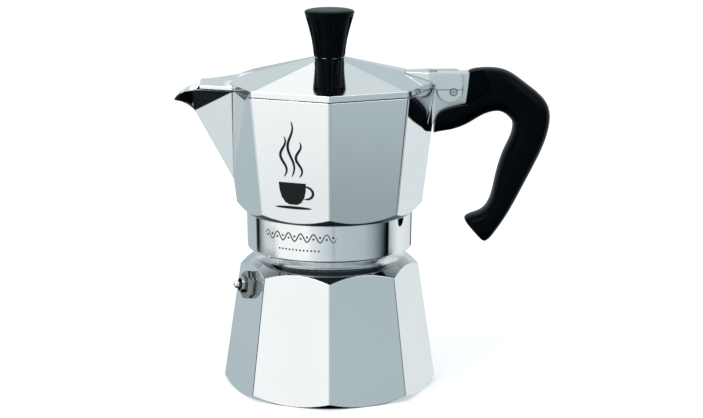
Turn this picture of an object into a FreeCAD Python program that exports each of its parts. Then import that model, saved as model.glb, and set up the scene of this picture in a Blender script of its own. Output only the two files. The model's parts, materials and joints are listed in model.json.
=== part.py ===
import FreeCAD, Part
import math
import os

# Stove-top moka pot, millimetres. Origin: centre of the base's underside, +Z up.
# The spout points along -X, the handle along +X.

V = FreeCAD.Vector
Z = V(0, 0, 1)
os.makedirs("parts", exist_ok=True)

# ---- overall sizes -------------------------------------------------------------
HEIGHT = 160.9            # floor to knob top
SIDES = 8                 # facets round the boiler, the jug and the lid
BASE_R = 45.7             # boiler vertex radius, carried down to the floor
BASE_FOOT_R = 41.9        # circle the boiler stands on
BASE_CHAMFER_Z = 2.9      # height at which the vertex edges start
BASE_CHAMFER_R = 45.4     # radius there
BASE_TAPER = 0.1473       # loss of vertex radius per mm of height
SHOULDER_Z = 51.8         # height where the vertex edges end
SHOULDER_R = 38.1
SHOULDER_SLOPE = 0.774    # fall of the shoulder's cone per mm of radius
NECK_FILLET = 5.9         # hollow blend between the neck and the shoulder
WALL = 3.0                # boiler wall and floor
EDGE_ROUND = 1.6          # rounding of the upright edges between facets

# ---- neck, thread and collar ------------------------------------------------------
NECK_R = 29.6             # outside of the neck, root of the male thread
NECK_BORE_R = 26.4
NECK_TOP_Z = 70.0
THREAD_PITCH = 3.0
THREAD_DEPTH = 1.0
THREAD_CLEAR = 0.4        # radial gap between the two thread crests
THREAD_BASE = 2.0         # width of a thread ridge at its root
MALE_Z0 = 62.6            # where the neck's thread starts
MALE_TURNS = 1.6
FEMALE_Z0 = 61.6
FEMALE_TURNS = 2.2
COLLAR_R = 35.1           # outside of the collar at its top
COLLAR_R_LOW = 34.85
COLLAR_BORE_R = NECK_R + 2 * THREAD_DEPTH + THREAD_CLEAR
COLLAR_Z0 = 60.2
COLLAR_Z1 = 75.9
COLLAR_EDGE = 0.8         # rounding of the collar's lower edge

# ---- jug ----------------------------------------------------------------------
JUG_Z0 = 79.1             # height where the jug's vertex edges start
JUG_R0 = 39.4
JUG_Z1 = 128.4            # rim
JUG_R1 = 45.55
JUG_WALL = 2.4
JUG_FLOOR_Z = 79.4        # inside floor
COLUMN_SEAT_R = 8.2
COLUMN_TOP_Z = 116.0
COLUMN_TOP_R = 5.6
COLUMN_WALL = 1.4

# ---- funnel, gasket and filter plate ----------------------------------------------
FUNNEL_CLEAR = 0.5        # gap between the cup and the neck's bore
FUNNEL_WALL = 0.9
FUNNEL_DEPTH = 15.0
FUNNEL_FLANGE_R = 29.0
FLANGE_T = 0.7
STEM_R = 4.4
STEM_WALL = 0.7
STEM_FOOT_Z = 8.0
GASKET_T = 3.5
GASKET_OUT_R = 30.6
GASKET_IN_R = 26.0
PLATE_R = 28.6
PLATE_T = 0.8
PLATE_DISH = 2.0          # how far the plate's middle stands above its rim
SEAL_GAP = 0.3            # radial gap between the gasket and the jug's recess
PLATE_GAP = 0.05          # gap between the plate's rim and the jug's underside
HOLE_R = 0.75             # perforations

# ---- spout --------------------------------------------------------------------
SPOUT_ROOT_X = -40.6      # keel leaves the jug's vertex edge
SPOUT_ROOT_Z = 88.9
SPOUT_BEND_X = -56.6      # keel turns outward
SPOUT_BEND_Z = 118.1
SPOUT_CREASE_X = -39.9    # side crease meets the rim
SPOUT_HALF_W = 14.2
SPOUT_SKIN = 1.7
SPOUT_TIP_X = -65.2

# ---- lid and hinge --------------------------------------------------------------
LID_GAP = 0.35            # gap between the lid's edge and the jug's rim
LID_T = 1.5
LID_TOP_Z = 141.0
LID_TOP_R = 6.2           # flat seat under the knob
CREST_DROP = 0.1          # how far the ridges start below the seat
LID_SLOPE = 0.248         # fall of the lid's ridges per mm of radius
LID_LEAN = 0.9            # how far the lid's edge band leans in over its full height
RIDGE_ROUND = 14.0        # soft rounding along the lid's ridges
BEAK_END_X = -54.0
PIN_X = 51.8
PIN_Z = 126.8
PIN_R = 1.3
PIN_CLEAR = 0.05          # radial running clearance in the ears
LUG_HALF_W = 4.0
EAR_CLEAR = 0.35          # side gap between the lug and each ear
EAR_HALF_W = 6.5          # half the width over both ears
EAR_TOP_Z = 134.9
EAR_STEP_Z = 127.9
EAR_FRONT_X = 44.2        # where the ears step down past the jug's rim
EAR_END_X = 55.5
EAR_LOBE_R = 5.3
EAR_ROOT_X = 32.0         # front of the hinge block, on the lid
EAR_ROOT_HALF_W = 3.2
EAR_FULL_X = 41.4         # where the hinge block reaches its full width
SLOT_X = 41.8             # front end of the fork's slot
LUG_FRONT_X = 45.3
LUG_TOP_Z = 134.5

# ---- knob -----------------------------------------------------------------------
KNOB_FOOT_R = 6.5
KNOB_TOP_R = 10.5
KNOB_FLUTES = 8
KNOB_FLUTE_R = 3.2
KNOB_SCREW_R = 2.0

# ---- handle -----------------------------------------------------------------------
TONGUE_HALF_W = 2.5
TONGUE_CLEAR = 0.1
TONGUE_END_X = 71.0
TONGUE_Z0 = 122.0
TONGUE_Z1 = 129.6
HANDLE_SCREW_X = 66.0
HANDLE_SCREW_R = 1.4
SCREW_HEAD_R = 2.2
SCREW_SEAT_Z = 120.0

# ---- safety valve -----------------------------------------------------------------
VALVE_ANGLE = 202.5       # direction of the valve's facet, degrees from +X
VALVE_Z = 45.9
VALVE_HEX = 12.0          # across corners
VALVE_HEX_T = 2.7
VALVE_WASHER_T = 0.4
VALVE_NOSE_T = 1.8
VALVE_NOSE_R = 3.5
VALVE_BARREL_R = 4.4
VALVE_BORE_R = 2.6
VALVE_SEAT_R = 1.4
VALVE_STEM_R = 1.2
VALVE_BALL_R = 1.65
VALVE_INNER = 7.0         # how far the barrel reaches inward from the facet
SPRING_WIRE_R = 0.25
SPRING_COILS = 6


def save(name, shape):
    shape.exportStep("parts/" + name + ".step")


def disc(r, z0, z1, x=0.0, y=0.0):
    return Part.makeCylinder(r, z1 - z0, V(x, y, z0))


def ring(r_out, r_in, z0, z1):
    return disc(r_out, z0, z1).cut(disc(r_in, z0, z1))


def box(x0, x1, y0, y1, z0, z1):
    return Part.makeBox(x1 - x0, y1 - y0, z1 - z0, V(x0, y0, z0))


def polygon(points):
    return Part.makePolygon(points + [points[0]])


def octagon(r, z):
    step = 2 * math.pi / SIDES
    return polygon([V(r * math.cos(i * step), r * math.sin(i * step), z) for i in range(SIDES)])


def stack(levels):
    """Eight-sided solid through (vertex radius, height) levels."""
    return Part.makeLoft([octagon(r, z) for r, z in levels], True, True)


def rounded_stack(levels, radius):
    """Eight-sided solid whose upright edges are rounded."""
    solid = stack(levels)
    upright = [e for e in solid.Edges if abs(e.Vertexes[0].Z - e.Vertexes[-1].Z) > 1]
    return solid.makeFillet(radius, upright)


def spun(points):
    """Solid of revolution about Z through (radius, height) corners."""
    return Part.Face(polygon([V(r, 0, z) for r, z in points])).revolve(V(0, 0, 0), Z, 360)


def slab(points, half_w):
    """Prism of an XZ outline, symmetric about the plane Y = 0."""
    face = Part.Face(polygon([V(x, -half_w, z) for x, z in points]))
    return face.extrude(V(0, 2 * half_w, 0))


def cross_pin(r, half_len, x, z):
    return Part.makeCylinder(r, 2 * half_len, V(x, -half_len, z), V(0, 1, 0))


def base_r(z):
    return BASE_R - BASE_TAPER * z


def plate_seat_z():
    """Underside of the jug's floor, just above the filter plate's rim."""
    return NECK_TOP_Z + FLANGE_T + GASKET_T + PLATE_T + PLATE_GAP


def jug_r(z):
    return JUG_R0 + (JUG_R1 - JUG_R0) * (z - JUG_Z0) / (JUG_Z1 - JUG_Z0)


def thread(r, depth, z0, turns):
    """Helical ridge on a cylinder of radius r; a negative depth points inward."""
    sink = -0.3 if depth > 0 else 0.3
    half = THREAD_BASE / 2
    spine = Part.makeHelix(THREAD_PITCH, THREAD_PITCH * turns, r)
    rim = polygon([V(r + sink, 0, -half), V(r, 0, -half), V(r + depth, 0, -0.3),
                   V(r + depth, 0, 0.3), V(r, 0, half), V(r + sink, 0, half)])
    ridge = Part.Wire(spine).makePipeShell([rim], True, True)
    ridge.translate(V(0, 0, z0))
    return ridge


# ---- boiler -----------------------------------------------------------------------
def boiler():
    shell = rounded_stack([(base_r(0), 0), (base_r(NECK_TOP_Z), NECK_TOP_Z)], EDGE_ROUND)
    far = BASE_R + 1
    join_z = SHOULDER_Z + SHOULDER_SLOPE * (SHOULDER_R - NECK_R)
    envelope = spun([(0, 0), (BASE_FOOT_R, 0), (BASE_CHAMFER_R, BASE_CHAMFER_Z),
                     (far, BASE_CHAMFER_Z + 4), (far, SHOULDER_Z - SHOULDER_SLOPE * (far - SHOULDER_R)),
                     (NECK_R, join_z), (NECK_R, NECK_TOP_Z - 0.5), (NECK_R - 0.5, NECK_TOP_Z),
                     (0, NECK_TOP_Z)])
    boxes = [(e, e.BoundBox) for e in envelope.Edges]
    corner = [e for e, b in boxes if abs(b.ZMin - join_z) + abs(b.ZMax - join_z) < 0.01]
    shell = shell.common(envelope.makeFillet(NECK_FILLET, corner))
    ridge = thread(NECK_R, THREAD_DEPTH, MALE_Z0, MALE_TURNS)
    flat = math.cos(math.pi / SIDES)
    low_r = base_r(WALL + 5) * flat - WALL
    high_r = base_r(SHOULDER_Z - WALL) * flat - WALL
    hollow = spun([(0, WALL), (low_r - 5, WALL), (low_r - 1.3, WALL + 1.5), (low_r, WALL + 5),
                   (high_r, SHOULDER_Z - WALL), (NECK_BORE_R + 0.6, join_z - 2.8),
                   (NECK_BORE_R, join_z - 0.8), (NECK_BORE_R, NECK_TOP_Z), (0, NECK_TOP_Z)])
    body = shell.fuse(ridge).cut(hollow)
    pad = along_valve(Part.makeCylinder(VALVE_BARREL_R + 2.5, WALL + 1.5), -WALL - 1.5)
    body = body.fuse(pad.common(shell))
    hole = along_valve(Part.makeCylinder(VALVE_BARREL_R, 2 * VALVE_INNER), -VALVE_INNER - 2)
    return body.cut(hole).removeSplitter()


# ---- safety valve -------------------------------------------------------------------
def valve_face():
    """Distance from the Z axis to the facet at the valve's height."""
    return base_r(VALVE_Z) * math.cos(math.pi / SIDES)


def along_valve(shape, start):
    """Lay a shape built along +Z from zero onto the valve's axis, square to the leaning facet."""
    lean = math.atan(BASE_TAPER * math.cos(math.pi / SIDES))
    out = shape.copy()
    out.translate(V(0, 0, start))
    out.rotate(V(0, 0, 0), V(0, 1, 0), 90 - math.degrees(lean))
    out.translate(V(valve_face(), 0, VALVE_Z))
    out.rotate(V(0, 0, 0), Z, VALVE_ANGLE)
    return out


def valve_washer():
    return along_valve(ring(VALVE_HEX / 2 - 0.3, VALVE_BARREL_R, 0, VALVE_WASHER_T), 0)


def hexagon(across, length):
    corners = [V(across / 2 * math.cos(math.radians(60 * i)),
                 across / 2 * math.sin(math.radians(60 * i)), 0) for i in range(6)]
    return Part.Face(polygon(corners)).extrude(V(0, 0, length))


def valve_body():
    r = VALVE_HEX / 2
    nut = hexagon(VALVE_HEX, VALVE_HEX_T)
    dome = spun([(0, 0), (r + 1, 0), (r + 1, VALVE_HEX_T - 1.0), (r - 0.9, VALVE_HEX_T),
                 (0, VALVE_HEX_T)])
    nose = spun([(0, 0), (VALVE_NOSE_R, 0), (VALVE_NOSE_R, VALVE_HEX_T + VALVE_NOSE_T * 0.5),
                 (VALVE_NOSE_R - 0.5, VALVE_HEX_T + VALVE_NOSE_T), (0, VALVE_HEX_T + VALVE_NOSE_T)])
    head = nut.common(dome).fuse(nose)
    depth = VALVE_INNER + VALVE_WASHER_T
    barrel = Part.makeCylinder(VALVE_BARREL_R, depth, V(0, 0, -depth))
    bore = Part.makeCylinder(VALVE_BORE_R, 40, V(0, 0, -depth + 1.5))
    seat = Part.makeCylinder(VALVE_SEAT_R, 40, V(0, 0, -depth - 1))
    return along_valve(head.fuse(barrel).cut(bore).cut(seat).removeSplitter(), VALVE_WASHER_T)


def valve_span():
    """Spring chamber ends, measured along the valve's axis from the facet."""
    return -VALVE_INNER + 1.5 + 1.2, VALVE_WASHER_T + VALVE_HEX_T + VALVE_NOSE_T - 1.9


def valve_guide():
    inner = VALVE_STEM_R + PIN_CLEAR
    return along_valve(ring(VALVE_BORE_R, inner, 0, 0.8), valve_span()[1])


def valve_pin():
    low, top = valve_span()
    nose_end = VALVE_WASHER_T + VALVE_HEX_T + VALVE_NOSE_T
    ball_z = nose_end + 1.15 - low
    stem = Part.makeCylinder(VALVE_STEM_R, ball_z)
    head = disc(VALVE_BORE_R - 0.35, -1.2, 0)
    ball = Part.makeSphere(VALVE_BALL_R, V(0, 0, ball_z))
    return along_valve(stem.fuse([head, ball]).removeSplitter(), low)


def valve_spring():
    low, top = valve_span()
    room = top - low - 2 * SPRING_WIRE_R - 0.06
    mean = VALVE_BORE_R - SPRING_WIRE_R - 0.3
    spine = Part.Wire(Part.makeHelix(room / SPRING_COILS, room, mean))
    wire = Part.Wire(Part.makeCircle(SPRING_WIRE_R, V(mean, 0, 0), V(0, 1, 0)))
    coil = spine.makePipeShell([wire], True, True)
    return along_valve(coil, low + SPRING_WIRE_R + 0.03)


# ---- funnel -------------------------------------------------------------------------
def cup_r():
    return NECK_BORE_R - FUNNEL_CLEAR


def funnel_cup():
    r = cup_r()
    top = NECK_TOP_Z + FLANGE_T
    low = NECK_TOP_Z - FUNNEL_DEPTH
    drop = 5.0
    outer = spun([(0, low - drop), (STEM_R, low - drop), (r - 2, low), (r, low + 2), (r, NECK_TOP_Z),
                  (FUNNEL_FLANGE_R, NECK_TOP_Z), (FUNNEL_FLANGE_R, top), (0, top)])
    t = FUNNEL_WALL
    inner = spun([(0, low - drop), (STEM_R - STEM_WALL, low - drop), (STEM_R, low - drop + 1),
                  (r - 2.3, low + t), (r - t, low + 2 + t), (r - t, top), (0, top)])
    return outer.cut(inner)


def funnel_stem():
    top = NECK_TOP_Z - FUNNEL_DEPTH - 5.0
    tube = ring(STEM_R, STEM_R - STEM_WALL, STEM_FOOT_Z, top)
    notch = box(-STEM_R, STEM_R, -1.2, 1.2, STEM_FOOT_Z, STEM_FOOT_Z + 1.5)
    return tube.cut(notch)


def perforations(rings, spacing, z0, z1):
    tools = [disc(HOLE_R, z0, z1)]
    for k in range(1, rings + 1):
        count = 6 * k
        for i in range(count):
            a = 2 * math.pi * i / count
            tools.append(disc(HOLE_R, z0, z1, k * spacing * math.cos(a), k * spacing * math.sin(a)))
    return tools


def funnel_strainer():
    low = NECK_TOP_Z - FUNNEL_DEPTH
    z = low + FUNNEL_WALL
    r = cup_r() - 2.3
    plate = disc(r, z, z + 0.6)
    return plate.cut(perforations(6, 3.4, z - 1, z + 2))


# ---- gasket and filter plate ----------------------------------------------------------
def gasket():
    z0 = NECK_TOP_Z + FLANGE_T
    body = ring(GASKET_OUT_R, GASKET_IN_R, z0, z0 + GASKET_T)
    return body.makeFillet(0.5, [e for e in body.Edges if len(e.Vertexes) == 1])


def filter_plate():
    z0 = NECK_TOP_Z + FLANGE_T + GASKET_T
    inner = GASKET_IN_R - 1.5
    lift = PLATE_DISH
    top = spun([(0, z0), (PLATE_R, z0), (PLATE_R, z0 + PLATE_T), (inner, z0 + PLATE_T),
                (inner - 2, z0 + PLATE_T + lift * 0.8), (0, z0 + PLATE_T + lift)])
    under = spun([(0, z0), (inner - 0.5, z0), (inner - 2.5, z0 + lift * 0.8), (0, z0 + lift)])
    return top.cut(under).cut(perforations(6, 3.5, z0 - 1, z0 + 6))


# ---- jug ------------------------------------------------------------------------------
LIP = [(-30.0, SPOUT_HALF_W, JUG_Z1), (SPOUT_CREASE_X, SPOUT_HALF_W, JUG_Z1), (-47.0, 11.6, JUG_Z1 - 0.05),
       (-53.8, 9.0, JUG_Z1 - 0.2), (-57.5, 7.1, JUG_Z1 - 0.6), (-60.2, 5.3, 127.2), (-62.2, 3.8, 126.1),
       (-63.8, 2.4, 124.8), (-64.8, 1.2, 123.6), (SPOUT_TIP_X, 0.5, 122.9)]
KEEL = [(-30.0, SPOUT_ROOT_Z), (SPOUT_ROOT_X, SPOUT_ROOT_Z), (SPOUT_BEND_X, SPOUT_BEND_Z),
        (-57.5, 119.0), (-58.8, 120.1), (-60.2, 121.0), (-62.2, 121.8), (-63.8, 122.2), (SPOUT_TIP_X, 122.5)]


def blend(table, x, column):
    """Straight-line value between table rows, whose first column falls."""
    for a, b in zip(table, table[1:]):
        if b[0] <= x <= a[0]:
            t = (a[0] - x) / (a[0] - b[0])
            return a[column] + t * (b[column] - a[column])
    return table[0][column] if x > table[0][0] else table[-1][column]


def spout_section(x, skin, raise_top):
    """Cross-section of the spout at x, shrunk inward by skin and open to raise_top."""
    keel_z = blend(KEEL, x, 1)
    lip_y = blend(LIP, x, 1)
    lip_z = blend(LIP, x, 2)
    t = min(max((SPOUT_CREASE_X - x) / (SPOUT_CREASE_X - SPOUT_BEND_X), 0.0), 1.0)
    side_y = max(SPOUT_HALF_W * (1 - t), 0.02)
    side_z = JUG_Z1 + (SPOUT_BEND_Z - JUG_Z1) * t
    if t >= 1.0:
        side_y = 0.3 * lip_y
        side_z = keel_z + 0.16 * (lip_z - keel_z)
    if t <= 0.0:
        side_z = JUG_Z1 - 0.05
    keel_in = keel_z + 2.1 * skin
    shrink = min(skin, 0.55 * lip_y)
    if skin:
        side_y = max(side_y - skin, 0.3 * (lip_y - shrink))
        side_z = max(side_z + 0.4 * skin, keel_in + 0.3)
        side_z = min(side_z, lip_z - 0.1)
        keel_in = min(keel_in, lip_z - 0.8)
    top = lip_z + raise_top
    right = [V(x, -0.05, keel_in), V(x, -side_y, side_z), V(x, shrink - lip_y, lip_z)]
    if raise_top:
        right.append(V(x, shrink - lip_y, top))
    left = [V(p.x, -p.y, p.z) for p in reversed(right)]
    return polygon(right + left)


def spout_solid(xs, skin, raise_top):
    return Part.makeLoft([spout_section(x, skin, raise_top) for x in xs], True, True)


def spout_outer():
    return spout_solid([-36.0, SPOUT_ROOT_X, -47.0, -53.8, SPOUT_BEND_X + 0.05, -57.5, -58.8, -60.2,
                        -62.2, -63.8, -64.8, SPOUT_TIP_X], 0.0, 0.0)


def spout_inner():
    return spout_solid([-33.0, SPOUT_ROOT_X, -47.0, -53.8, SPOUT_BEND_X + 0.05, -57.5, -58.8, -60.2,
                        -62.2, -63.8, -64.8], SPOUT_SKIN, 6.0)


# Edge of the lug that the handle's front end fits against.
LUG_BACK = [(44.2, 114.7), (44.9, 116.3), (46.1, 118.1), (48.7, 119.5), (52.6, 120.6),
            (57.1, 121.8), (57.9, 128.2), (58.5, LUG_TOP_Z)]
LUG = [(43.0, 112.5)] + LUG_BACK + [(LUG_FRONT_X, LUG_TOP_Z), (LUG_FRONT_X, JUG_Z1), (43.0, JUG_Z1)]


def lug():
    plate = slab(LUG, LUG_HALF_W)
    tongue = box(56.0, TONGUE_END_X, -TONGUE_HALF_W, TONGUE_HALF_W, TONGUE_Z0, TONGUE_Z1)
    return plate.fuse(tongue).cut(cross_pin(PIN_R, 20, PIN_X, PIN_Z))


def jug():
    cone = (JUG_Z0 - COLLAR_Z1) / (JUG_R0 - COLLAR_R)
    far = JUG_R1 + 5
    envelope = spun([(0, COLLAR_Z1), (COLLAR_R, COLLAR_Z1),
                     (far, COLLAR_Z1 + cone * (far - COLLAR_R)), (far, JUG_Z1), (0, JUG_Z1)])
    outer = rounded_stack([(jug_r(COLLAR_Z1), COLLAR_Z1), (jug_r(JUG_Z1), JUG_Z1)], EDGE_ROUND)
    outer = outer.common(envelope)
    collar = spun([(0, COLLAR_Z0), (COLLAR_R_LOW - COLLAR_EDGE, COLLAR_Z0),
                   (COLLAR_R_LOW - 0.25, COLLAR_Z0 + 0.25), (COLLAR_R_LOW, COLLAR_Z0 + COLLAR_EDGE),
                   (COLLAR_R, COLLAR_Z1), (COLLAR_R, COLLAR_Z1 + 2), (0, COLLAR_Z1 + 2)])
    body = outer.fuse([collar, spout_outer()])
    wall = JUG_WALL / math.cos(math.pi / SIDES)
    bottom = jug_r(JUG_FLOOR_Z) - wall
    cavity = stack([(bottom - 3, JUG_FLOOR_Z), (bottom - 0.8, JUG_FLOOR_Z + 1.2),
                    (jug_r(JUG_FLOOR_Z + 4) - wall, JUG_FLOOR_Z + 4), (JUG_R1 - wall, JUG_Z1)])
    body = body.cut(cavity).cut(spout_inner())
    seat = NECK_TOP_Z + FLANGE_T - 0.4
    roof = plate_seat_z()
    recess_r = GASKET_OUT_R + SEAL_GAP
    under = spun([(0, COLLAR_Z0), (COLLAR_BORE_R + 0.4, COLLAR_Z0), (COLLAR_BORE_R, COLLAR_Z0 + 0.4),
                  (COLLAR_BORE_R, seat), (recess_r, seat), (recess_r, roof), (GASKET_IN_R, roof),
                  (GASKET_IN_R - 2.6, roof + PLATE_DISH + 0.2), (0, roof + PLATE_DISH + 1.2)])
    body = body.cut(under).cut(disc(COLUMN_SEAT_R, roof, JUG_FLOOR_Z))
    body = body.fuse(thread(COLLAR_BORE_R, -THREAD_DEPTH, FEMALE_Z0, FEMALE_TURNS))
    return body.fuse(lug()).removeSplitter()


def column():
    z0 = plate_seat_z() + PLATE_DISH + 0.8
    top = COLUMN_TOP_Z
    foot = COLUMN_SEAT_R
    wall = COLUMN_WALL
    outer = spun([(0, z0), (foot, z0), (foot, JUG_FLOOR_Z + 1), (foot - 0.8, JUG_FLOOR_Z + 2.5),
                  (COLUMN_TOP_R, top), (0, top)])
    inner = spun([(0, z0), (foot - wall, z0), (COLUMN_TOP_R - wall, top), (0, top)])
    windows = box(-12, 12, -1.7, 1.7, top - 7, top - 2.6)
    return outer.cut(inner).cut(windows)


def column_cap():
    top = COLUMN_TOP_Z
    crown = spun([(0, top), (COLUMN_TOP_R, top), (COLUMN_TOP_R - 0.4, top + 0.9), (0, top + 1.5)])
    plug = disc(COLUMN_TOP_R - COLUMN_WALL, top - 2, top)
    return crown.fuse(plug).removeSplitter()


# ---- lid ------------------------------------------------------------------------------
def beak(half_w, foot_z, crown, shrink, skin):
    """Roof over the spout between the lid and the beak's end."""
    stations = [(-30.0, half_w - 2.5, 134.9), (SPOUT_CREASE_X - 0.5, half_w, 133.2),
                (BEAK_END_X + shrink, 9.1 - (SPOUT_HALF_W - half_w), 131.2)]
    wires = []
    for x, w, crest in stations:
        eave = foot_z + crown
        ridge = crest - skin
        mid = 0.45 * eave + 0.55 * ridge
        wires.append(polygon([V(x, -w, foot_z), V(x, -w, eave), V(x, -0.5 * w, mid), V(x, 0, ridge),
                              V(x, 0.5 * w, mid), V(x, w, eave), V(x, w, foot_z)]))
    return Part.makeLoft(wires, True, True)


EAR = [(EAR_ROOT_X, EAR_STEP_Z + 4), (38.5, EAR_STEP_Z + 2.1), (EAR_FRONT_X, EAR_STEP_Z + 2.1),
       (EAR_FRONT_X, EAR_STEP_Z), (EAR_END_X, EAR_STEP_Z), (EAR_END_X, EAR_TOP_Z - 2),
       (EAR_END_X - 0.6, EAR_TOP_Z - 0.6), (EAR_END_X - 2, EAR_TOP_Z), (EAR_ROOT_X, EAR_TOP_Z)]


def hinge_block():
    """Tapered block on the lid that carries the two ears."""
    block = slab(EAR, EAR_HALF_W)
    w0, w1 = EAR_ROOT_HALF_W, EAR_HALF_W
    plan = [(EAR_ROOT_X - 1, -w0), (EAR_FULL_X, -w1), (70, -w1), (70, w1), (EAR_FULL_X, w1),
            (EAR_ROOT_X - 1, w0)]
    taper = Part.Face(polygon([V(x, y, 100) for x, y in plan])).extrude(V(0, 0, 60))
    lobe = cross_pin(EAR_LOBE_R, EAR_HALF_W - 0.3, PIN_X - 1.5, PIN_Z + 0.9)
    return block.common(taper).fuse(lobe)


def lid():
    foot = JUG_Z1 + LID_GAP
    crest_r, crest_z = LID_TOP_R + 0.2, LID_TOP_Z - CREST_DROP
    roof = rounded_stack([(crest_r + (crest_z - foot) / LID_SLOPE, foot), (crest_r, crest_z)], RIDGE_ROUND)
    band = rounded_stack([(JUG_R1, foot), (JUG_R1 - LID_LEAN, LID_TOP_Z + 1)], EDGE_ROUND)
    crown = spun([(0, LID_TOP_Z - 2), (LID_TOP_R + 2.0, LID_TOP_Z - 2), (LID_TOP_R, LID_TOP_Z),
                  (0, LID_TOP_Z)])
    inner_r = JUG_R1 - 2.9
    under_z = lid_under_z()
    hollow = stack([(inner_r + 0.6, foot), (inner_r + 0.3, foot + 0.6),
                    (inner_r, under_z - LID_SLOPE * (inner_r - LID_TOP_R - 0.3)), (LID_TOP_R + 0.3, under_z)])
    cover = beak(SPOUT_HALF_W, foot, 1.4, 0.0, 0.0)
    room = beak(SPOUT_HALF_W - 1.4, foot - 0.01, 0.3, -0.5, LID_T)
    body = roof.common(band).fuse([crown, cover]).cut(hollow).cut(room)
    body = body.fuse(hinge_block().cut(hollow.common(box(0, 40, -10, 10, foot, LID_TOP_Z))))
    slot_half = LUG_HALF_W + EAR_CLEAR
    body = body.cut(box(SLOT_X, 70, -slot_half, slot_half, JUG_Z1 - 12, EAR_TOP_Z + 1))
    body = body.cut(cross_pin(PIN_R + PIN_CLEAR, 20, PIN_X, PIN_Z))
    return body.cut(disc(KNOB_SCREW_R + 0.2, LID_TOP_Z - 6, LID_TOP_Z + 1)).removeSplitter()


def hinge_pin():
    pin = cross_pin(PIN_R, EAR_HALF_W + 0.15, PIN_X, PIN_Z)
    dimples = [cross_pin(0.45, 0.25, PIN_X, PIN_Z)]
    for side in (-1, 1):
        tool = dimples[0].copy()
        tool.translate(V(0, side * (EAR_HALF_W + 0.15), 0))
        pin = pin.cut(tool)
    return pin


# ---- knob -----------------------------------------------------------------------------
def knob():
    z0 = LID_TOP_Z
    rise = HEIGHT - z0
    foot, head = KNOB_FOOT_R, KNOB_TOP_R
    flare = head - foot
    rim = z0 + 0.945 * rise
    body = spun([(0, z0), (foot - 0.4, z0), (foot, z0 + 0.4), (foot + 0.04 * flare, z0 + 0.07 * rise),
                 (foot + 0.11 * flare, z0 + 0.2 * rise), (foot + 0.25 * flare, z0 + 0.37 * rise),
                 (foot + 0.45 * flare, z0 + 0.54 * rise), (foot + 0.66 * flare, z0 + 0.7 * rise),
                 (foot + 0.88 * flare, z0 + 0.85 * rise), (head - 0.1, z0 + 0.92 * rise), (head, rim),
                 (head - 0.5, rim + 0.5), (head - 1.7, HEIGHT - 0.25), (head - 4, HEIGHT - 0.05),
                 (0, HEIGHT)])
    flutes = []
    for i in range(KNOB_FLUTES):
        a = 2 * math.pi * (i + 0.5) / KNOB_FLUTES
        lean = V(math.cos(a) * 0.17, math.sin(a) * 0.17, 1)
        reach = foot + KNOB_FLUTE_R - 0.75
        start = V(math.cos(a) * reach, math.sin(a) * reach, z0 - 1)
        flutes.append(Part.makeCylinder(KNOB_FLUTE_R, rise - 2, start, lean))
    socket = disc(KNOB_SCREW_R, z0, z0 + 10)
    return body.cut(flutes).cut(socket)


def lid_under_z():
    return LID_TOP_Z - CREST_DROP - LID_T - 0.3


def knob_washer():
    z = lid_under_z()
    return ring(5.2, KNOB_SCREW_R + 0.1, z - 0.8, z)


def knob_screw():
    z = lid_under_z() - 0.8
    shank = disc(KNOB_SCREW_R, z, LID_TOP_Z + 9.5)
    head = spun([(0, z), (3.9, z), (3.9, z - 1.0), (3.0, z - 2.1), (0, z - 2.4)])
    drive = [box(-3, 3, -0.45, 0.45, z - 3, z - 1.2), box(-0.45, 0.45, -3, 3, z - 3, z - 1.2)]
    return shank.fuse(head).cut(drive)


# ---- handle ---------------------------------------------------------------------------
# Each row: outer side (x, z), inner side (x, z), half width.
HANDLE = [((44.6, 121.0), (43.9, 108.75), 6.4),
          ((49.8, 126.8), (50.3, 109.95), 6.9),
          ((54.6, 131.6), (56.0, 111.75), 7.5),
          ((60.4, 135.8), (61.8, 115.0), 8.0),
          ((67.8, 136.3), (67.3, 117.6), 8.4),
          ((76.4, 134.0), (72.6, 117.6), 8.7),
          ((85.0, 127.7), (75.9, 115.0), 8.8),
          ((91.8, 120.2), (77.1, 112.2), 8.8),
          ((92.3, 111.6), (76.6, 108.4), 8.7),
          ((87.1, 96.9), (73.7, 101.6), 8.5),
          ((81.6, 85.9), (70.6, 91.9), 8.3),
          ((76.9, 76.8), (68.6, 82.6), 8.0),
          ((72.8, 70.0), (66.0, 77.0), 7.7),
          ((69.3, 64.9), (61.4, 74.2), 7.4),
          ((66.6, 62.3), (57.8, 72.6), 7.0),
          ((64.6, 63.0), (57.6, 70.9), 5.6)]
# Outline of the hollow in each side that lets the ears swing.
SWING = [(57.0, 121.2), (62.4, 124.0), (66.0, 126.9), (66.9, 129.8), (65.6, 133.2), (63.0, 137.5),
         (55.0, 140.0), (50.0, 125.0)]


def handle_section(outer, inner, half_w):
    """Rounded cross-section standing on the line between two XZ points."""
    cx, cz = (outer[0] + inner[0]) / 2, (outer[1] + inner[1]) / 2
    ax, az = (outer[0] - inner[0]) / 2, (outer[1] - inner[1]) / 2
    points = []
    for i in range(24):
        a = 2 * math.pi * i / 24
        c = math.copysign(abs(math.cos(a)) ** 0.75, math.cos(a))
        s = math.copysign(abs(math.sin(a)) ** 0.75, math.sin(a))
        points.append(V(cx + ax * c, half_w * s, cz + az * c))
    curve = Part.BSplineCurve()
    curve.interpolate(points + [points[0]])
    return Part.Wire(curve.toShape())


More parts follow.
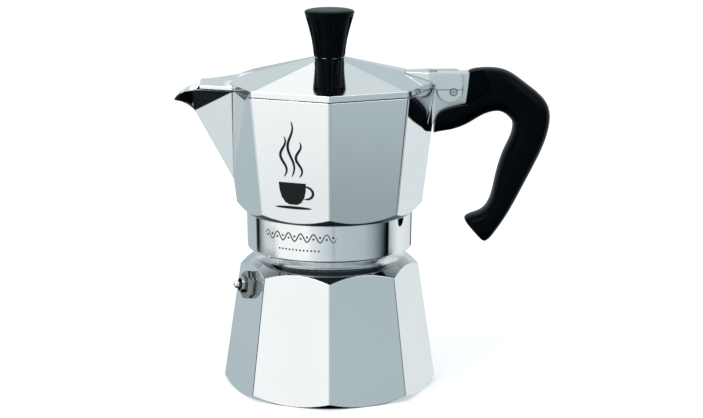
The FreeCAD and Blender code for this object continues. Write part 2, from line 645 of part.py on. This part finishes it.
def handle():
    body = Part.makeLoft([handle_section(*row) for row in HANDLE], True, False, False, 3)
    front = [(40, 112.5), (43.0, 112.5)] + LUG_BACK + [(58.5, 150), (40, 150)]
    body = body.cut(slab(front, 20))
    curve = Part.BSplineCurve()
    points = [V(x, -20, z) for x, z in SWING]
    curve.interpolate(points + [points[0]])
    swing = Part.Face(Part.Wire(curve.toShape())).extrude(V(0, 40, 0))
    body = body.cut(swing.cut(box(0, 90, -LUG_HALF_W, LUG_HALF_W, 100, 150)))
    gap = TONGUE_CLEAR
    body = body.cut(box(50, TONGUE_END_X + gap, -TONGUE_HALF_W - gap, TONGUE_HALF_W + gap,
                        TONGUE_Z0 - gap, TONGUE_Z1 + gap))
    body = body.cut(disc(HANDLE_SCREW_R, 100, TONGUE_Z0, HANDLE_SCREW_X))
    return body.cut(disc(SCREW_HEAD_R + 0.3, 100, SCREW_SEAT_Z, HANDLE_SCREW_X))


def handle_screw():
    z = SCREW_SEAT_Z
    shank = disc(HANDLE_SCREW_R, z, TONGUE_Z0 + 4, HANDLE_SCREW_X)
    head = disc(SCREW_HEAD_R, z - 1.6, z, HANDLE_SCREW_X)
    drive = box(HANDLE_SCREW_X - 3, HANDLE_SCREW_X + 3, -0.35, 0.35, z - 2, z - 0.9)
    return shank.fuse(head).cut(drive)


def screw_hole():
    return disc(HANDLE_SCREW_R, TONGUE_Z0 - 1, TONGUE_Z0 + 4.2, HANDLE_SCREW_X)


save("boiler", boiler())
save("valve_washer", valve_washer())
save("valve_body", valve_body())
save("valve_guide", valve_guide())
save("valve_pin", valve_pin())
save("valve_spring", valve_spring())
save("funnel_cup", funnel_cup())
save("funnel_stem", funnel_stem())
save("funnel_strainer", funnel_strainer())
save("gasket", gasket())
save("filter_plate", filter_plate())
save("jug", jug().cut(screw_hole()))
save("column", column())
save("column_cap", column_cap())
save("lid", lid())
save("hinge_pin", hinge_pin())
save("knob", knob())
save("knob_washer", knob_washer())
save("knob_screw", knob_screw())
save("handle", handle())
save("handle_screw", handle_screw())
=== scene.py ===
import json
import math

import bpy
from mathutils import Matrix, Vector


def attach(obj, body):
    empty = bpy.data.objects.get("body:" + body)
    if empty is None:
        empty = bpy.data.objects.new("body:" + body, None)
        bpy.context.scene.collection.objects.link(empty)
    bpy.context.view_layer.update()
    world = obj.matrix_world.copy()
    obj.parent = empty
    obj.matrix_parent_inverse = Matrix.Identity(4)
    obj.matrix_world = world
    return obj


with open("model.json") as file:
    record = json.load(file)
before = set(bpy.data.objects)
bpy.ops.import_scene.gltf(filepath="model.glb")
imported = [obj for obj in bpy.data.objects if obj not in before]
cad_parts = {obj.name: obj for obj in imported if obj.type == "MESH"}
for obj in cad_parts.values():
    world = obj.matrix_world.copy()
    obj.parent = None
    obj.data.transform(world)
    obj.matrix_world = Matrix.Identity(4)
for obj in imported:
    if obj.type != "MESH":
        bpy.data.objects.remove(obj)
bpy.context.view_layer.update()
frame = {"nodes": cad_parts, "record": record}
nodes = frame["nodes"]

MM = 0.001

# ---- camera --------------------------------------------------------------------------
CAMERA_BACK = 906.7 * MM        # distance from the pot's axis, along -Y
CAMERA_UP = 273.1 * MM          # height of the lens above the floor
CAMERA_TILT = 12.29             # degrees below the horizon
CAMERA_LENS = 111.86            # on a 36 mm wide sensor
CAMERA_SHIFT = 0.0314           # the pot stands a little left of the frame's middle


def srgb(r, g, b):
    """Linear colour from display values of 0 to 255."""
    def lin(c):
        c = c / 255
        return c / 12.92 if c <= 0.04045 else ((c + 0.055) / 1.055) ** 2.4
    return (lin(r), lin(g), lin(b), 1.0)


# ---- node helpers ----------------------------------------------------------------------
class Graph:
    """Short hand for building a node tree."""

    def __init__(self, tree):
        self.tree = tree
        self.coords = None      # object coordinates, in a finish
        tree.nodes.clear()

    def add(self, kind, inputs=None, **settings):
        node = self.tree.nodes.new(kind)
        for key, value in settings.items():
            setattr(node, key, value)
        for key, value in (inputs or {}).items():
            self.put(node.inputs[key], value)
        return node

    def put(self, socket, value):
        if isinstance(value, bpy.types.NodeSocket):
            self.tree.links.new(value, socket)
        else:
            socket.default_value = value

    def math(self, operation, a, b=0.0):
        return self.add("ShaderNodeMath", {0: a, 1: b}, operation=operation).outputs[0]

    def ramp(self, factor, stops, mode="LINEAR"):
        node = self.add("ShaderNodeValToRGB", {0: factor})
        ramp = node.color_ramp
        ramp.interpolation = mode
        while len(ramp.elements) < len(stops):
            ramp.elements.new(0.5)
        for element, (place, colour) in zip(ramp.elements, stops):
            element.position = place
            element.color = colour
        return node.outputs[0]

    def noise(self, coords, scale, detail=3.0, stretch=(1, 1, 1)):
        mapped = self.add("ShaderNodeMapping", {"Vector": coords, "Scale": stretch}).outputs[0]
        settings = {"Vector": mapped, "Scale": scale, "Detail": detail}
        return self.add("ShaderNodeTexNoise", settings).outputs[0]

    def band(self, value, start, end, low=0.0, high=1.0):
        """Clamped straight-line change from low to high as value goes from start to end."""
        return self.add("ShaderNodeMapRange", {0: value, 1: start, 2: end, 3: low, 4: high}).outputs[0]

    def spread(self, factor, low, high):
        """Noise, which stays near its middle, stretched to the range low to high."""
        return self.band(factor, 0.3, 0.7, low, high)

    def split(self, vector):
        return self.add("ShaderNodeSeparateXYZ", {0: vector}).outputs

    def mix(self, amount, a, b):
        """Blend of two colours."""
        return self.add("ShaderNodeMix", {0: amount, 6: a, 7: b}, data_type="RGBA").outputs[2]

    def mix_value(self, amount, a, b):
        return self.add("ShaderNodeMix", {0: amount, 2: a, 3: b}).outputs[0]


# ---- finishes ------------------------------------------------------------------------------
POLISHED = (0.93, 0.935, 0.94, 1.0)
SATIN = (0.82, 0.84, 0.85, 1.0)
SHADE = (0.02, 0.025, 0.03, 1.0)            # painted shade for the depth of a joint line and the hollows at joints
AS_CAST_SHADED = (0.10, 0.13, 0.145, 1.0)          # dull cast metal under the jug, darkened with painted shade
# painted shade on the boiler's sloping shoulder, for the dark underside that it mirrors
SHOULDER_PAINTED_SHADE = (0.06, 0.085, 0.10, 1.0)
SATIN_STEP = 0.6 * MM                       # over which the polish turns to satin
COLLAR_TOP_Z = 70.0 * MM                    # only what is above this is under the jug
# rings of painted shade in the hinge's gaps, round the pin and round the ear's lobe
PIN_SHADE_RING = (51.8 * MM, 126.8 * MM, 1.42 * MM, 0.32 * MM)
LOBE_SHADE_RING = (50.3 * MM, 127.7 * MM, 5.45 * MM, 0.26 * MM)


def rear_satin(g, start, mixed, finish):
    """Beyond x = start the casting is satin, not polished."""
    base, gloss, strength = finish
    x = g.split(g.coords)[0]
    rear = g.band(x, start, start + SATIN_STEP)
    return (g.mix(rear, base, SATIN), g.mix_value(rear, gloss, g.spread(mixed, 0.42, 0.6)),
            g.mix_value(rear, strength, 0.25))


def paint_gap_shade(g, shade_ring, base):
    """Ring of painted shade in a gap round a cross axis: x, z, radius and half width."""
    place_x, place_z, radius, half = shade_ring
    x, y, z = g.split(g.coords)
    across = g.math("POWER", g.math("SUBTRACT", x, place_x), 2.0)
    upward = g.math("POWER", g.math("SUBTRACT", z, place_z), 2.0)
    away = g.math("SUBTRACT", g.math("SQRT", g.math("ADD", across, upward)), radius)
    line = g.band(g.math("ABSOLUTE", away), half * 0.4, half, 1.0, 0.0)
    return g.mix(line, base, SHADE)


def paint_cast_underside_shade(g, mixed, finish):
    """Faces under the jug are dull cast metal, and painted dark as the shade under the jug."""
    base, gloss, strength = finish
    down = g.split(g.add("ShaderNodeNewGeometry").outputs["True Normal"])[2]
    z = g.split(g.coords)[2]
    under = g.math("MULTIPLY", g.math("LESS_THAN", down, -0.58), g.math("GREATER_THAN", z, COLLAR_TOP_Z))
    return g.mix(under, base, AS_CAST_SHADED), g.mix_value(under, gloss, g.spread(mixed, 0.35, 0.5)), strength


def paint_shoulder_shade(g, base):
    """The boiler's sloping shoulder is greyer, most at the front and the back: painted shade for the dark
    it mirrors.
    """
    up = g.split(g.add("ShaderNodeNewGeometry").outputs["Normal"])[2]
    y = g.split(g.coords)[1]
    slope = g.band(up, 0.73, 0.785)
    front = g.band(g.math("ABSOLUTE", y), 8 * MM, 27 * MM)
    dim = g.math("MULTIPLY", slope, g.math("ADD", g.math("MULTIPLY", front, 0.68), 0.2))
    return g.mix(dim, base, SHOULDER_PAINTED_SHADE)


def paint_crevice_shade(g, reach, base):
    """Painted shade darkens the metal within reach of a joint, by ambient occlusion."""
    open_sky = g.add("ShaderNodeAmbientOcclusion", {"Distance": reach}, samples=8).outputs["AO"]
    return g.mix(g.math("POWER", open_sky, 1.6), SHADE, base)


def material(name, colour, metallic, rough, rough_swing, grain, bump, specular=0.5, tint=0.04,
             stretch=(1, 1, 1), soften=0.0, satin_from=None, crevice_shade_reach=0.0, sheen=(1, 1, 1, 1),
             shade_ring=None, cast_and_shaded_under=False, shoulder=False):
    """A finish with colour drift, uneven gloss and a fine surface grain. soften rounds the look of
    sharp edges, and crevice_shade_reach is the reach of the painted shade round joints, both in
    metres. satin_from is the x beyond which the polish turns satin. sheen tints the gloss."""
    mat = bpy.data.materials.new(name)
    mat.use_nodes = True
    g = Graph(mat.node_tree)
    out = g.add("ShaderNodeOutputMaterial")
    shader = g.add("ShaderNodeBsdfPrincipled", {"Metallic": metallic, "Specular IOR Level": specular,
                                                "Specular Tint": sheen})
    g.coords = g.add("ShaderNodeTexCoord").outputs["Object"]
    broad = g.noise(g.coords, 28.0, 4.0)
    fine = g.noise(g.coords, grain, 5.0, stretch)
    darker = tuple(c * (1 - tint) for c in colour[:3]) + (1.0,)
    base = g.ramp(broad, [(0.3, darker), (0.7, colour)])
    mixed = g.math("ADD", g.math("MULTIPLY", broad, 0.6), g.math("MULTIPLY", fine, 0.4))
    gloss = g.spread(mixed, max(rough - rough_swing, 0.01), rough + rough_swing)
    strength = bump
    if satin_from:
        base, gloss, strength = rear_satin(g, satin_from, mixed, (base, gloss, strength))
    # painted shade: a dark ring in a gap of the hinge
    if shade_ring:
        base = paint_gap_shade(g, shade_ring, base)
    # dull cast metal under the jug, with painted shade
    if cast_and_shaded_under:
        base, gloss, strength = paint_cast_underside_shade(g, mixed, (base, gloss, strength))
    # painted shade on the boiler's sloping shoulder
    if shoulder:
        base = paint_shoulder_shade(g, base)
    # painted shade in the hollows near joints, by ambient occlusion
    if crevice_shade_reach:
        base = paint_crevice_shade(g, crevice_shade_reach, base)
    g.put(shader.inputs["Base Color"], base)
    g.put(shader.inputs["Roughness"], gloss)
    relief = g.add("ShaderNodeBump", {"Height": fine, "Strength": strength, "Distance": 0.2 * MM})
    if soften:
        corner = g.add("ShaderNodeBevel", {"Radius": soften}, samples=6)
        g.put(relief.inputs["Normal"], corner.outputs[0])
    g.put(shader.inputs["Normal"], relief.outputs[0])
    g.put(out.inputs["Surface"], shader.outputs[0])
    return mat


# Painted shade rides on the boiler's shoulder, the jug's underside, and the gap rings and hollows at the
# joints of the jug, lid, valve and pin.
finishes = {
    "boiler_cast": material("polished_boiler", POLISHED, 1.0, 0.05, 0.015, 900.0, 0.012, soften=0.4 * MM,
                            shoulder=True),
    "jug_cast": material("polished_jug", POLISHED, 1.0, 0.05, 0.015, 900.0, 0.012, soften=0.5 * MM,
                         satin_from=43.7 * MM, crevice_shade_reach=0.5 * MM, shade_ring=LOBE_SHADE_RING, cast_and_shaded_under=True),
    "lid_pressing": material("polished_lid", POLISHED, 1.0, 0.05, 0.015, 900.0, 0.012, soften=0.4 * MM,
                             satin_from=41.3 * MM, crevice_shade_reach=0.5 * MM, shade_ring=PIN_SHADE_RING),
    "column_cast": material("satin_column", (0.72, 0.73, 0.74, 1), 1.0, 0.32, 0.08, 1500.0, 0.2),
    "funnel_sheet": material("satin_funnel", (0.78, 0.79, 0.80, 1), 1.0, 0.3, 0.08, 1200.0, 0.2,
                             stretch=(1, 1, 12)),
    "strainer_sheet": material("punched_sheet", (0.74, 0.75, 0.76, 1), 1.0, 0.34, 0.08, 1200.0, 0.2),
    "gasket_rubber": material("gasket_rubber", (0.80, 0.78, 0.73, 1), 0.0, 0.6, 0.1, 1600.0, 0.3),
    "valve_seal": material("seal_rubber", (0.03, 0.03, 0.03, 1), 0.0, 0.6, 0.1, 1600.0, 0.3),
    "valve_metal": material("plated_brass", (0.40, 0.41, 0.41, 1), 1.0, 0.09, 0.04, 1400.0, 0.1, tint=0.25,
                            soften=0.3 * MM, crevice_shade_reach=2.0 * MM),
    "valve_stem": material("bright_stem", (0.88, 0.88, 0.87, 1), 1.0, 0.12, 0.04, 1400.0, 0.1),
    "spring_wire": material("spring_wire", (0.6, 0.6, 0.62, 1), 1.0, 0.25, 0.06, 2000.0, 0.2),
    "steel_pin": material("satin_steel", (0.66, 0.66, 0.68, 1), 1.0, 0.26, 0.08, 1500.0, 0.2,
                          crevice_shade_reach=0.4 * MM),
    "black_plastic": material("black_plastic", (0.0006, 0.0011, 0.0018, 1), 0.0, 0.27, 0.05, 2600.0, 0.08,
                              specular=0.055, tint=0.3, soften=0.4 * MM, sheen=(0.5, 0.78, 1.0, 1)),
}
slots = {row["node"]: row["material_slot"] for row in frame["record"]["subparts"]}
for name, node in nodes.items():
    for i in range(len(node.material_slots)):
        node.material_slots[i].material = finishes[slots[name]]


# ---- printed motif ------------------------------------------------------------------------
PRINT_RISE = 0.06 * MM          # how far the ink stands proud of the metal
PRINT_FILM = 0.03 * MM          # thickness of the ink
FACET_TURN = math.radians(-112.5)
JUG_APOTHEM = 36.40 * MM        # axis to the facet at the foot of the jug
JUG_FOOT = 79.1 * MM
JUG_LEAN = 0.11525              # growth of the apothem per unit of height
COLLAR_RADIUS = 34.85 * MM
COLLAR_FOOT = 60.2 * MM
COLLAR_LEAN = 0.0159            # growth of the collar's radius per unit of height
WAVE_HEIGHT = 70.6              # middle of the collar's wave, in millimetres like all the art
ROW_HEIGHT = 65.3               # dotted row below it


def on_facet(along, height):
    """Point just off the front-left facet of the jug: millimetres sideways and above the floor."""
    reach = JUG_APOTHEM + JUG_LEAN * (height * MM - JUG_FOOT) + PRINT_RISE
    side = Vector((-math.sin(FACET_TURN), math.cos(FACET_TURN), 0))
    out = Vector((math.cos(FACET_TURN), math.sin(FACET_TURN), 0))
    return out * reach + side * along * MM + Vector((0, 0, height * MM))


def on_collar(along, height):
    """Point just off the collar, along measured round it in millimetres from the front."""
    reach = COLLAR_RADIUS + COLLAR_LEAN * (height * MM - COLLAR_FOOT) + PRINT_RISE
    turn = math.radians(-90) + along * MM / reach
    return Vector((math.cos(turn) * reach, math.sin(turn) * reach, height * MM))


class Print:
    """Flat ink shapes laid on one surface of the pot."""

    def __init__(self, place):
        self.place = place
        self.points = []
        self.faces = []

    def patch(self, outline):
        """Filled outline of (along, height) points."""
        start = len(self.points)
        self.points += [self.place(a, h) for a, h in outline]
        self.faces.append(list(range(start, len(self.points))))

    def stroke(self, line, half):
        """Ribbon along a line, tapering to nothing at both ends."""
        edges = []
        for i, (a, h) in enumerate(line):
            before, after = line[max(i - 1, 0)], line[min(i + 1, len(line) - 1)]
            da, dh = after[0] - before[0], after[1] - before[1]
            size = math.hypot(da, dh)
            t = i / (len(line) - 1)
            w = half * (0.15 + 0.85 * math.sin(math.pi * t) ** 0.5)
            side_a, side_h = dh / size * w, da / size * w
            edges.append(((a - side_a, h + side_h), (a + side_a, h - side_h)))
        for (p, q), (r, s) in zip(edges, edges[1:]):
            self.patch([q, s, r, p])

    def finish(self, name):
        mesh = bpy.data.meshes.new(name)
        mesh.from_pydata(self.points, [], self.faces)
        piece = bpy.data.objects.new(name, mesh)
        bpy.context.scene.collection.objects.link(piece)
        body = piece.modifiers.new("film", "SOLIDIFY")
        body.thickness = PRINT_FILM
        body.offset = -1.0
        mesh.materials.append(ink)
        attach(piece, "jug")


def steaming_cup():
    """A plain cup on a saucer with three curls of steam."""
    art = Print(on_facet)
    mid, low = -0.6, 83.5
    half = [(6.0, 10.6), (5.8, 7.4), (5.0, 4.4), (3.6, 2.3), (1.8, 1.3)]
    right_side = [(mid + a, low + h) for a, h in half]
    left_side = [(mid - a, low + h) for a, h in reversed(half)]
    art.patch(left_side[::-1] + right_side[::-1])
    turn = [math.radians(100 - 20 * i) for i in range(11)]
    art.stroke([(mid + 5.6 + 3.4 * math.cos(t), low + 6.6 + 2.7 * math.sin(t)) for t in turn], 0.55)
    art.stroke([(mid - 8.0 + i, low) for i in range(17)], 0.6)
    for shift, top in ((-3.4, 17.0), (0.0, 23.5), (3.4, 15.0)):
        count = 28
        line = [(mid + shift + 1.25 * math.sin(2 * math.pi * i / 20), low + 13.0 + top * i / count)
                for i in range(count + 1)]
        art.stroke(line, 0.55)
    art.finish("cup_print")


def collar_band():
    """A trailing wave with a dot in each hollow, over a short dotted row."""
    art = Print(on_collar)
    start, end, waves = -30.0, 3.0, 6
    count = 120
    span = end - start
    line = [(start + span * i / count, WAVE_HEIGHT + 1.7 * math.sin(2 * math.pi * waves * i / count))
            for i in range(count + 1)]
    art.stroke(line, 0.22)
    halves = 2 * waves
    dots = [(start + span * (k + 0.5) / halves, WAVE_HEIGHT + (0.4 if k % 2 else -0.4), 0.42)
            for k in range(halves)]
    dots += [(-22.0 + 1.6 * k, ROW_HEIGHT, 0.36) for k in range(12)]
    for a, h, r in dots:
        ring = [2 * math.pi * i / 10 for i in range(10)]
        art.patch([(a + r * math.cos(t), h + r * math.sin(t)) for t in ring])
    art.finish("collar_print")


ink = material("print_ink", (0.006, 0.006, 0.007, 1), 0.0, 0.5, 0.08, 2400.0, 0.1, specular=0.2,
               tint=0.3)
steaming_cup()
collar_band()


# ---- studio ------------------------------------------------------------------------------
GREY = (169, 184, 189)
MID = (216, 224, 226)
WHITE = (247, 249, 249)
DARK = (12, 15, 18)


def tone(level):
    """Cool studio grey that polished metal mirrors as the given display level."""
    steps = [(0, (0, 0, 0)), (15, DARK), (181, GREY), (222, MID), (248, WHITE), (255, (255, 255, 255))]
    for (low, a), (high, b) in zip(steps, steps[1:]):
        if level <= high:
            t = (level - low) / (high - low)
            mix = [p + (q - p) * t for p, q in zip(a, b)]
            return tuple(c / POLISHED[0] for c in srgb(*mix)[:3]) + (1.0,)


# Brightness round the tent by direction in degrees: 0 faces the camera's side, positive to the
# right. Dark flags stand to the left and the right of the pot; each row is one height of the tent.
EYE_ROW = [(-180, 188), (-117, 186), (-112, 24), (-106, 14), (-86, 14), (-81, 200), (-76, 243), (-31, 247),
           (-24, 229), (-16, 212), (-4, 204), (2, 194), (6, 176), (10, 192), (20, 188), (38, 184),
           (52, 180), (62, 168), (74, 140), (81, 110), (96, 100), (101, 190), (112, 226), (128, 228),
           (140, 222), (150, 222), (180, 200)]
COLLAR_ROW = [(-180, 188), (-125, 184), (-122, 15), (-116, 15), (-112, 140), (-100, 215), (-84, 243),
              (-31, 247), (-24, 229), (-16, 212), (-4, 204), (2, 194), (6, 176), (10, 192), (20, 188),
              (38, 186), (47, 182), (54, 170), (61, 157), (67, 140), (75, 112), (81, 84), (85, 10), (90, 4),
              (93, 190), (104, 215), (112, 232), (140, 222), (155, 218), (159, 80), (166, 80), (170, 190)]
JUG_ROW = [(-180, 183), (-115, 182), (-110, 24), (-106, 14), (-84, 14), (-79, 200), (-74, 243), (-31, 247),
           (-24, 229), (-4, 204), (2, 194), (6, 176), (10, 190), (20, 186), (38, 184), (52, 180), (62, 164),
           (74, 120), (81, 12), (97, 10), (102, 190), (112, 226), (140, 220), (180, 200)]
LOW_ROW = [(-180, 183), (-125, 190), (-100, 212), (-84, 230), (-62, 243), (-31, 247), (-24, 229),
           (-4, 204), (6, 176), (10, 190), (38, 184), (52, 180), (70, 150), (90, 120), (112, 226),
           (140, 220), (180, 200)]
TABLE_ROW = [(-180, 181), (-125, 178), (-100, 200), (-84, 214), (-70, 220), (-58, 231), (-31, 233),
             (-4, 190), (6, 165), (20, 170), (38, 163), (47, 160), (61, 140), (81, 60), (90, 4), (93, 190),
             (112, 228), (140, 220), (180, 196)]


def build_world():
    """A tent of soft rows of light and dark, for the polished faces to mirror."""
    world = bpy.data.worlds.new("studio")
    bpy.context.scene.world = world
    world.use_nodes = True
    g = Graph(world.node_tree)
    way = g.add("ShaderNodeTexCoord").outputs["Generated"]
    x, y, z = g.split(way)
    place = g.band(g.math("ARCTAN2", x, g.math("MULTIPLY", y, -1.0)), -math.pi, math.pi)
    right = g.band(x, -0.05, 0.05)

    def row(stops):
        return g.ramp(place, [((a + 180) / 360, tone(v)) for a, v in stops])

    def halves(left, other):
        return g.ramp(right, [(0.0, tone(left)), (1.0, tone(other))])

    # From eye level down to the table, then from eye level up; z is the sine of the elevation.
    sky = row(EYE_ROW)
    sky = g.mix(g.band(z, -0.17, -0.195), sky, row(COLLAR_ROW))
    sky = g.mix(g.band(z, -0.245, -0.265), sky, row(JUG_ROW))
    sky = g.mix(g.band(z, -0.33, -0.345), sky, row(LOW_ROW))
    sky = g.mix(g.band(z, -0.362, -0.412), sky, row(TABLE_ROW))
    sky = g.mix(g.band(z, -0.66, -0.74), sky, tone(6))
    sky = g.mix(g.band(z, 0.17, 0.25), sky, halves(207, 193))
    sky = g.mix(g.band(z, 0.53, 0.555), sky, halves(248, 214))
    back = g.add("ShaderNodeBackground", {"Color": sky, "Strength": 1.0})
    out = g.add("ShaderNodeOutputWorld")
    g.put(out.inputs["Surface"], back.outputs[0])


def build_floor():
    """Pale card that glows a little, so that it stays white to the horizon."""
    bpy.ops.mesh.primitive_plane_add(size=12.0, location=(0, 0, 0))
    floor = bpy.context.object
    floor.name = "floor"
    mat = bpy.data.materials.new("floor_card")
    mat.use_nodes = True
    g = Graph(mat.node_tree)
    coords = g.add("ShaderNodeTexCoord").outputs["Object"]
    shade = g.ramp(g.noise(coords, 3.0), [(0.3, (0.90, 0.90, 0.90, 1)), (0.7, (0.92, 0.92, 0.92, 1))])
    card = g.add("ShaderNodeBsdfDiffuse", {"Color": shade})
    glow = g.add("ShaderNodeEmission", {"Color": (1, 1, 1, 1), "Strength": 0.28})
    both = g.add("ShaderNodeAddShader", {0: card.outputs[0], 1: glow.outputs[0]})
    g.put(g.add("ShaderNodeOutputMaterial").inputs["Surface"], both.outputs[0])
    floor.data.materials.append(mat)
    floor.visible_glossy = False


def build_lights():
    aim = Vector((0, 0, 0.08))
    lamps = (("key", (-0.9, -0.9, 1.3), 0.9, 9.0), ("fill", (1.1, -0.5, 1.1), 1.0, 4.0))
    for name, place, size, power in lamps:
        data = bpy.data.lights.new(name, "AREA")
        data.size = size
        data.energy = power
        lamp = bpy.data.objects.new(name, data)
        bpy.context.scene.collection.objects.link(lamp)
        lamp.location = place
        lamp.rotation_euler = (aim - Vector(place)).to_track_quat("-Z", "Y").to_euler()


def build_camera():
    data = bpy.data.cameras.new("camera")
    data.sensor_width = 36.0
    data.lens = CAMERA_LENS
    data.shift_x = CAMERA_SHIFT
    camera = bpy.data.objects.new("camera", data)
    bpy.context.scene.collection.objects.link(camera)
    camera.location = (0.0, -CAMERA_BACK, CAMERA_UP)
    camera.rotation_euler = (math.radians(90 - CAMERA_TILT), 0.0, 0.0)
    bpy.context.scene.camera = camera


build_world()
build_floor()
build_lights()
build_camera()
bpy.context.scene.view_settings.view_transform = "Standard"
